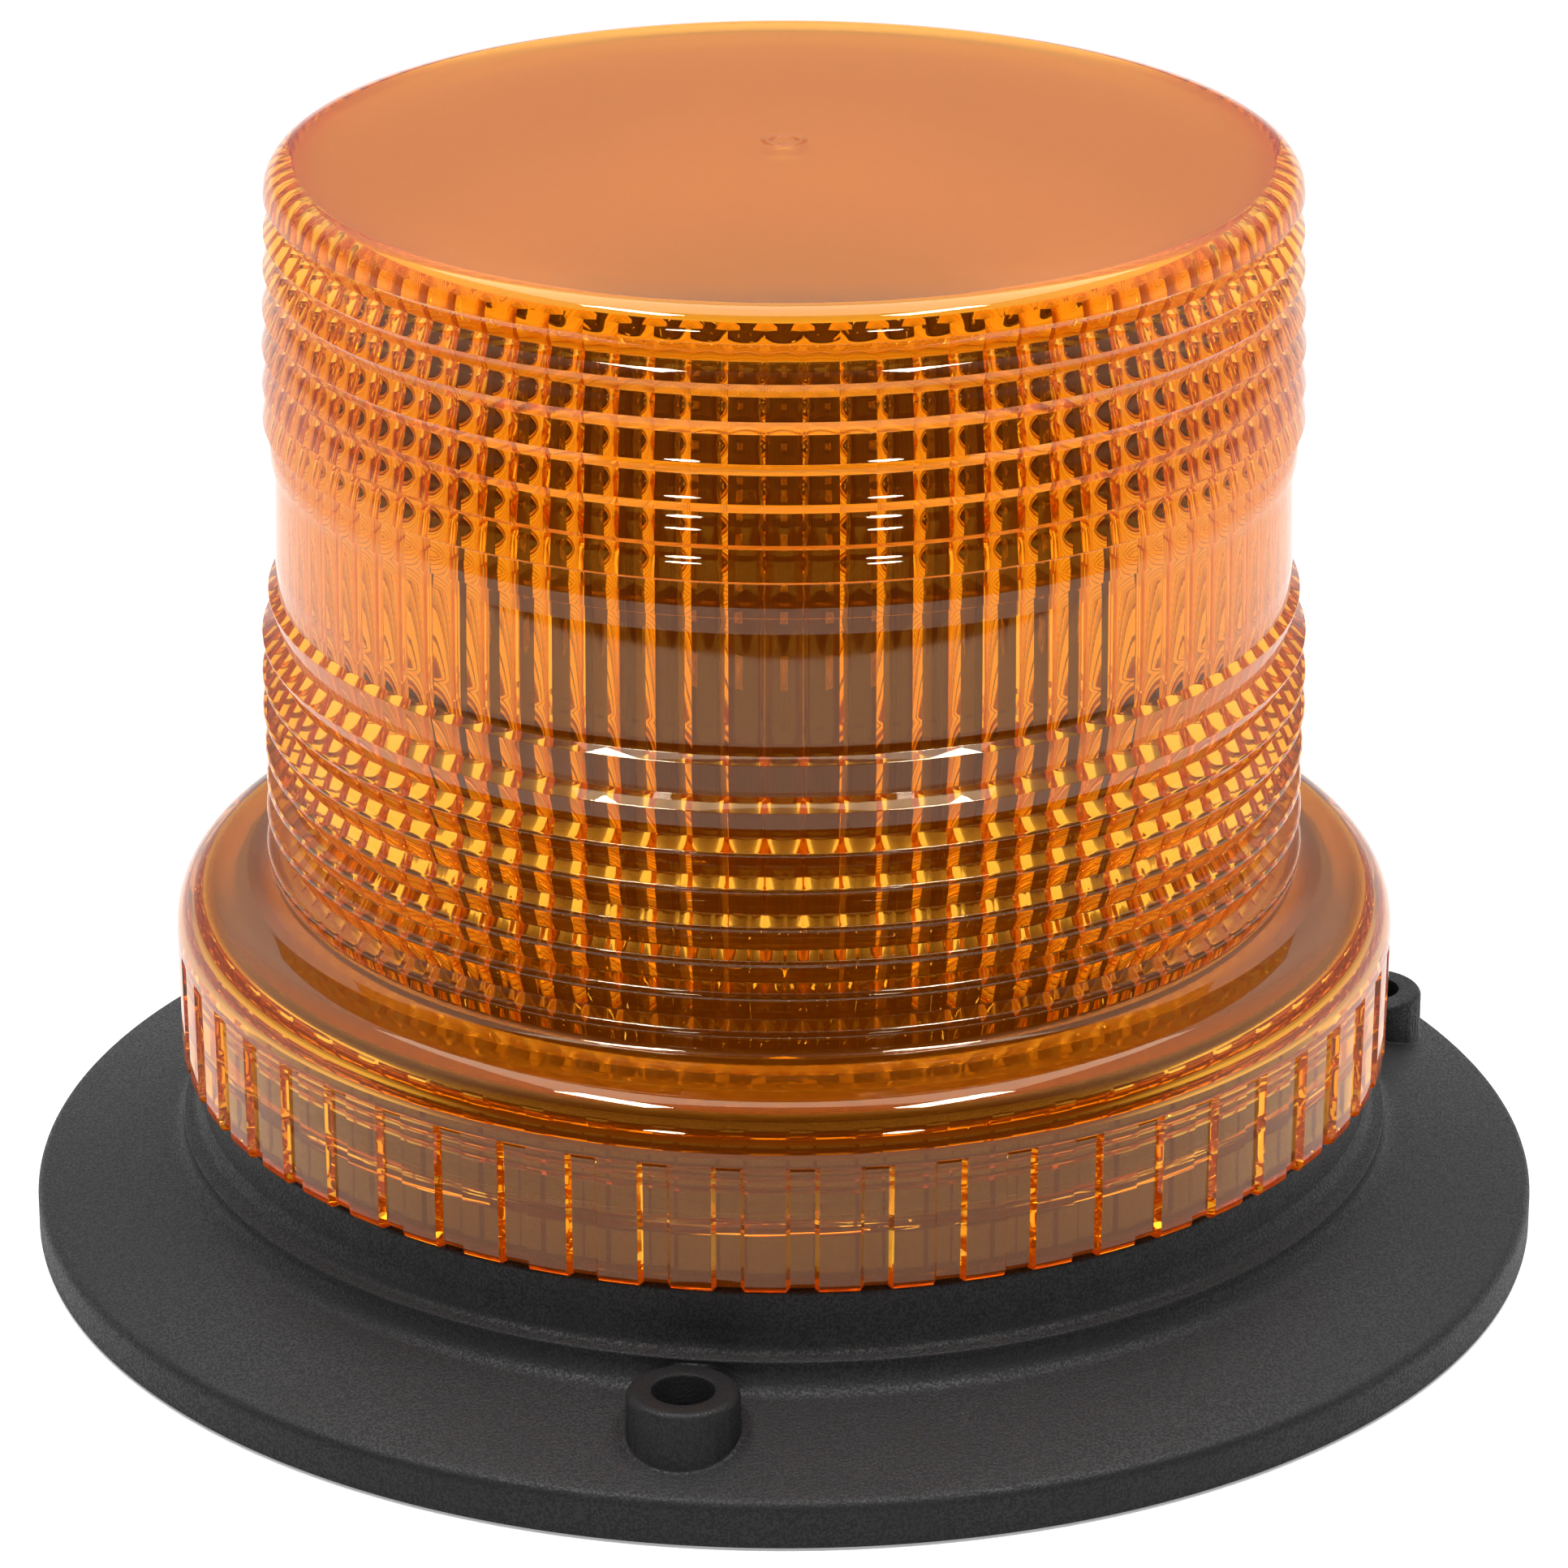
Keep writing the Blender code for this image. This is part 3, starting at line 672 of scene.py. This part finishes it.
BOSS_CIRCLE_R = 72.6
BOSS_TOP = 12.4
BOSS_FILLET = 0.3  # at a boss's foot
BOSS_EDGE = 0.8
BOSS_BLEND = 1.4  # how widely a boss and the shoulder wall melt together
BOSS_CORE = 4.5  # a boss's wall is looked for outside this radius
BOSS_SEARCH = 500
BOSS_WALL_GAP = 0.01
BOSS_WALL_SLACK = 0.02
BOSS_RINGS = (  # from the block's edge in to the boss's wall, as shares of the way
    *(0.995, 0.985, 0.96, 0.92, 0.86, 0.78, 0.68, 0.56),
    *(0.44, 0.33, 0.24, 0.16, 0.1, 0.05, 0.02, 0.004),
)
BLOCK_HALF = 19  # steps either side of a boss where the flare is remeshed round it


def cone(radius):
    """The height of the plain flare at a radius."""
    slope = (CONE_IN[1] - CONE_OUT[1]) / (CONE_OUT[0] - CONE_IN[0])
    return CONE_OUT[1] + (CONE_OUT[0] - radius) * slope


def lift(away, fillet=FILLET):
    """How far the fillet at a wall's foot stands above the flare, at a distance from the wall."""
    into = np.maximum(fillet - np.maximum(away, 0), 0)
    return fillet - np.sqrt(np.maximum(fillet**2 - into**2, 0))


def blended(x, y, out):
    """The distance from the shoulder wall or the boss, melted together, and the boss's share of it.

    The boss is the one in the direction out.
    """
    shoulder = np.hypot(x, y) - SHOULDER_R
    boss = np.hypot(x - BOSS_CIRCLE_R * out[0], y - BOSS_CIRCLE_R * out[1]) - BOSS_R
    share = np.clip(0.5 + 0.5 * (shoulder - boss) / BOSS_BLEND, 0, 1)
    return shoulder * (1 - share) + boss * share - BOSS_BLEND * share * (1 - share), share


def boss_height(x, y, out):
    """The flare's height with a boss on it."""
    away, share = blended(x, y, out)
    fillet = FILLET + (BOSS_FILLET - FILLET) * share
    ground = cone(np.hypot(x, y))
    inside = np.clip(-away, 0, BOSS_EDGE)
    edge = BOSS_TOP - BOSS_EDGE + np.sqrt(np.maximum(BOSS_EDGE**2 - (BOSS_EDGE - inside) ** 2, 0))
    raised = np.minimum(np.maximum(ground + fillet, edge), BOSS_TOP)
    return np.where(away >= 0, ground + lift(away, fillet), raised)


def rim_rows():
    """The rim from its foot up to the start of the straight flare."""
    start = (BASE_R - 1.9, float(cone(BASE_R - 1.9)))
    return rounded([(BASE_R - 0.5, 0.0, 0), (BASE_R, 0.0, 0.4), (*CONE_OUT, 1.3), (*start, 0)], 6)


def flare_rows():
    """The straight flare and the fillet up to the top of the shoulder wall."""
    rows = [(r, float(cone(r))) for r in FLARE_RINGS]
    for away in FILLET * (1 - np.sin(np.radians(np.arange(0, 85, 10)))):
        rows.append((SHOULDER_R + float(away), float(cone(SHOULDER_R + away) + lift(away))))
    rows.append((SHOULDER_R, float(cone(SHOULDER_R) + FILLET)))
    rows.append((SHOULDER_R, SHOULDER_TOP - 0.3))
    return rows


def neck_rows():
    """From the shoulder in to the neck, and up to the foot of the collar."""
    corners = [
        (SHOULDER_R, SHOULDER_TOP - 0.3, 0),
        (SHOULDER_R, SHOULDER_TOP, 0.25),
        (64.7, 13.0, 1.5),
        (NECK_R, 15.0, 1.0),
        (NECK_R, NECK_TOP, 0.5),
        (COLLAR_R, NECK_TOP, 0.4),
        (COLLAR_R, 22.0, 0),
    ]
    return rounded(corners)[1:]


def cup_rows():
    """From the collar's top down inside the cup, through the wire hole and out to the gasket's groove."""
    corners = [
        (COLLAR_R, 34.5, 0),
        (COLLAR_R, COLLAR_TOP, 0.5),
        (COLLAR_BORE_R, COLLAR_TOP, 0.5),
        (COLLAR_BORE_R, FLOOR_TOP, 1.5),
        (WIRE_HOLE_R, FLOOR_TOP, 0.3),
        (WIRE_HOLE_R, GROMMET_RECESS, 0.2),
        (GROMMET_RECESS_R, GROMMET_RECESS, 0.2),
        (GROMMET_RECESS_R, 0.0, 0.3),
        (GASKET_IN_R, 0.0, 0.2),
        (GASKET_IN_R, GASKET_DEPTH, 0.2),
        (GASKET_OUT_R, GASKET_DEPTH, 0.2),
        (GASKET_OUT_R, 0.0, 0),
    ]
    return rounded(corners, 3)


def boss_patch(shell, grid, low, high, middle):
    """Remeshes the block of the flare between rows low and high round a boss at the step middle."""
    columns = [(middle + k) % FLARE_STEPS for k in range(-BLOCK_HALF, BLOCK_HALF + 1)]
    loop = [grid[low][c] for c in columns]
    loop += [grid[i][columns[-1]] for i in range(low + 1, high + 1)]
    loop += [grid[high][c] for c in columns[-2::-1]]
    loop += [grid[i][columns[0]] for i in range(high - 1, low, -1)]
    edge = np.concatenate(shell.points)[loop][:, :2]
    angle = TURN * middle / FLARE_STEPS
    out = np.array([math.cos(angle), math.sin(angle)])
    centre = BOSS_CIRCLE_R * out
    reach = np.linalg.norm(edge - centre, axis=1)
    away = (edge - centre) / reach[:, None]

    wall = reach - BOSS_WALL_SLACK
    for share in np.linspace(1, 0, BOSS_SEARCH):
        distance = BOSS_CORE + (reach - BOSS_CORE) * share
        at = centre + away * distance[:, None]
        outside = blended(at[:, 0], at[:, 1], out)[0] >= 0
        wall = np.where(outside, np.minimum(wall, distance), wall)
    last = np.array(loop)

    def ring(distance, heights=None):
        nonlocal last
        at = centre + away * distance[:, None]
        if heights is None:
            heights = boss_height(at[:, 0], at[:, 1], out)
        new = shell.add(np.column_stack([at, heights]))
        shell.strip(last, new)
        last = new

    for share in BOSS_RINGS:
        ring(wall + (reach - wall) * share)
    for degrees in range(0, 91, 15):
        ring(wall - BOSS_WALL_GAP - BOSS_EDGE * (1 - math.cos(math.radians(degrees))))
    flat = np.ones(len(loop))
    hole = (
        (4.2, BOSS_TOP),
        (BOSS_HOLE_R + 0.35, BOSS_TOP),
        (BOSS_HOLE_R + 0.1, BOSS_TOP - 0.1),
        (BOSS_HOLE_R, BOSS_TOP - 0.35),
        (BOSS_HOLE_R, 0.35),
        (BOSS_HOLE_R + 0.35, 0.0),
    )
    for distance, z in hole:
        ring(flat * distance, flat * z)
    return last


def base_shell():
    shell = Shell()
    rim = rim_rows()
    rows = rim + flare_rows()
    low = len(rim) - 1
    high = len(rows) - 1
    grid = [shell.ring(r, z, FLARE_STEPS) for r, z in rows]
    middles = [round(a * FLARE_STEPS / 360) % FLARE_STEPS for a in BOSS_ANGLES]
    skip = {(m + k) % FLARE_STEPS for m in middles for k in range(-BLOCK_HALF, BLOCK_HALF)}
    for i in range(high):
        for j in range(FLARE_STEPS):
            if i >= low and j in skip:
                continue
            k = (j + 1) % FLARE_STEPS
            shell.faces.append([grid[i][j], grid[i][k], grid[i + 1][k], grid[i + 1][j]])
    holes = [boss_patch(shell, grid, low, high, m) for m in middles]

    last = shell.tube(grid[-1], neck_rows(), FLARE_STEPS)
    collar = [(thread_row(z, COLLAR_R, BASE_THREAD, BASE_STEPS), z) for z in np.arange(22.25, 34.4, 0.25)]
    last = shell.tube(last, collar + cup_rows(), BASE_STEPS)
    underside(shell, last, grid[0], holes)
    for circle, first, radius, top in POSTS:
        for i in range(3):
            shell.merge(post(circle, first + 120 * i, radius, top))
    return shell


def underside(shell, inner, outer, holes):
    """The flat ring under the flare, with the three screw holes through it."""
    shape = bmesh.new()
    every = np.concatenate(shell.points)
    seen = {}

    def vert(index):
        if index not in seen:
            seen[index] = shape.verts.new(every[index])
        return seen[index]

    for loop in (inner, outer, *holes):
        loop = [int(i) for i in loop]
        for a, b in zip(loop, loop[1:] + loop[:1]):
            shape.edges.new((vert(a), vert(b)))
    bmesh.ops.triangle_fill(shape, edges=shape.edges, use_beauty=True)
    back = {v: index for index, v in seen.items()}
    shell.faces.extend([[back[v] for v in face.verts] for face in shape.faces])
    shape.free()


def post(circle, degrees, radius, top):
    """A moulded post with a tapered side and a screw bore, standing in the cup."""
    shell = Shell()
    foot = FLOOR_TOP - 0.5
    corners = [
        (0.0, foot, 0),
        (radius + 0.4, foot, 0),
        (radius, top, 0.4),
        (SCREW_BORE_R, top, 0.2),
        (SCREW_BORE_R, top - SCREW_BORE, 0),
        (0.0, top - SCREW_BORE, 0),
    ]
    profile = rounded(corners, 3)[1:-1]
    first = shell.ring(*profile[0], POST_STEPS)
    last = shell.tube(first, profile[1:], POST_STEPS)
    shell.cap(first, foot)
    shell.cap(last, top - SCREW_BORE)
    angle = math.radians(degrees)
    move = np.array([circle * math.cos(angle), circle * math.sin(angle), 0.0])
    shell.points = [points + move for points in shell.points]
    return shell


# ---- studio ------------------------------------------------------------------------------------

CAMERA_BACK = 0.6376
CAMERA_UP = 0.3087
CAMERA_PITCH = 22.19
CAMERA_LENS = 145.53
SENSOR = 36.0

# the backdrop's brightness by direction, as (from, to, level at from, level at to)
BEHIND = (-0.45, 0.1, 0.03, 1.05)  # along Y: dark in front of the object, bright behind it
HORIZON = (0.0, 0.16, 1.0, 0.4)  # along Z
CEILING_GLOW = (0.32, 0.5, 0.0, 0.45)  # along Z

TABLE_R = 0.29
TABLE_SIDES = 128
TABLE_DROP = 0.0002
TABLE_SHADE = (0.78, 0.78, 0.78)  # as the object sees it
TABLE_SEEN = (0.98, 0.98, 0.98)  # as the camera sees it
TABLE_LIFT = 0.3  # light of its own, for the camera only


def camera():
    data = bpy.data.cameras.new("camera")
    data.lens = CAMERA_LENS
    data.sensor_width = SENSOR
    data.clip_start = 0.01
    obj = bpy.data.objects.new("camera", data)
    obj.location = (0.0, -CAMERA_BACK, CAMERA_UP)
    obj.rotation_euler = (math.radians(90 - CAMERA_PITCH), 0.0, 0.0)
    bpy.context.scene.collection.objects.link(obj)
    bpy.context.scene.camera = obj


def area(name, size, place, aim_z, power, shape="RECTANGLE"):
    """A soft light aimed at a point on the object's axis."""
    data = bpy.data.lights.new(name, "AREA")
    data.shape = shape
    data.size, data.size_y = size
    data.energy = power
    obj = bpy.data.objects.new(name, data)
    obj.location = place
    obj.rotation_euler = (Vector((0, 0, aim_z)) - Vector(place)).to_track_quat("-Z", "Y").to_euler()
    obj.visible_camera = False
    bpy.context.scene.collection.objects.link(obj)


def backdrop():
    """White for the camera, and a soft gradient for the light that falls on the object."""
    world = bpy.data.worlds.new("studio")
    bpy.context.scene.world = world
    world.use_nodes = True
    sky = Nodes(world.node_tree)
    x, y, z = sky.parts(sky.node("ShaderNodeTexCoord").outputs["Generated"])
    levels = sky.math("ADD", sky.between(z, *HORIZON), sky.between(z, *CEILING_GLOW))
    light = sky.math("MULTIPLY", sky.between(y, *BEHIND), levels)
    seen = sky.node("ShaderNodeLightPath").outputs["Is Camera Ray"]
    back = sky.tree.nodes["Background"]
    sky.link(sky.math("MAXIMUM", seen, light), back.inputs["Color"])
    back.inputs["Strength"].default_value = 1.0


def floor():
    """A pale disc that looks white to the camera and is a little darker to the object."""
    mesh = bpy.data.meshes.new("floor")
    rim = [TURN * k / TABLE_SIDES for k in range(TABLE_SIDES)]
    points = [(TABLE_R * math.cos(a), TABLE_R * math.sin(a), 0) for a in rim]
    mesh.from_pydata(points, [], [tuple(range(TABLE_SIDES))])
    table = bpy.data.objects.new("floor", mesh)
    bpy.context.scene.collection.objects.link(table)
    pale = Look("pale_floor", TABLE_SHADE, 0.6)
    seen = pale.node("ShaderNodeLightPath").outputs["Is Camera Ray"]
    pale.colour(pale.mix(seen, TABLE_SHADE, TABLE_SEEN))
    pale.set("Emission Color", (1, 1, 1, 1))
    pale.link(pale.math("MULTIPLY", seen, TABLE_LIFT), pale.shader.inputs["Emission Strength"])
    mesh.materials.append(pale.material)
    table.location.z = -TABLE_DROP


def studio():
    backdrop()
    floor()
    for side in (-1, 1):
        area(f"strip_{side}", (0.26, 0.09), (side * 0.32, -0.19, 0.95), 0.09, 4.0)
        area(f"spot_{side}", (0.10, 0.045), (side * 0.27, -0.70, 0.36), 0.09, 0.5, "ELLIPSE")
    area("overhead", (1.2, 1.1), (0.0, 0.33, 1.3), 0.05, 12.0)


# ---- the whole ---------------------------------------------------------------------------------


def dress_nodes():
    """Procedural materials for the CAD nodes that stay."""
    looks = {
        "black_plastic": black_look(),
        "black_rubber": rubber_look(),
        "steel": metal_look("steel", (0.62, 0.61, 0.6), 0.28),
        "aluminium": metal_look("aluminium", (0.07, 0.03, 0.012), 0.45, (14.0, 1.0, 1.0)),
        "board_black": board_look(),
        "chip_black": plain_look("chip_black", (0.02, 0.02, 0.021), 0.4, 0.3),
        "led_clear": led_look(),
        "capacitor_sleeve": metal_look("capacitor_sleeve", (0.6, 0.6, 0.62), 0.25),
        "terminal_green": plain_look("terminal_green", (0.03, 0.22, 0.07), 0.45),
        "button_white": plain_look("button_white", (0.75, 0.74, 0.7), 0.45),
    }
    for part in frame["record"]["subparts"]:
        node = frame["nodes"].get(part["node"])
        if node is None or part["material_slot"] not in looks:
            continue
        node.data.materials.clear()
        node.data.materials.append(looks[part["material_slot"]])
    return looks


def main():
    camera()
    studio()
    scene = bpy.context.scene
    scene.view_settings.view_transform = "Standard"
    scene.cycles.max_bounces = 32
    scene.cycles.transmission_bounces = 24
    scene.cycles.glossy_bounces = 8
    looks = dress_nodes()
    make("beacon_lens", lens_shell(), amber_look(), "lens", 25.0, "lens")
    make("beacon_base", base_shell(), looks["black_plastic"], "base", 40.0, "base_housing")


main()
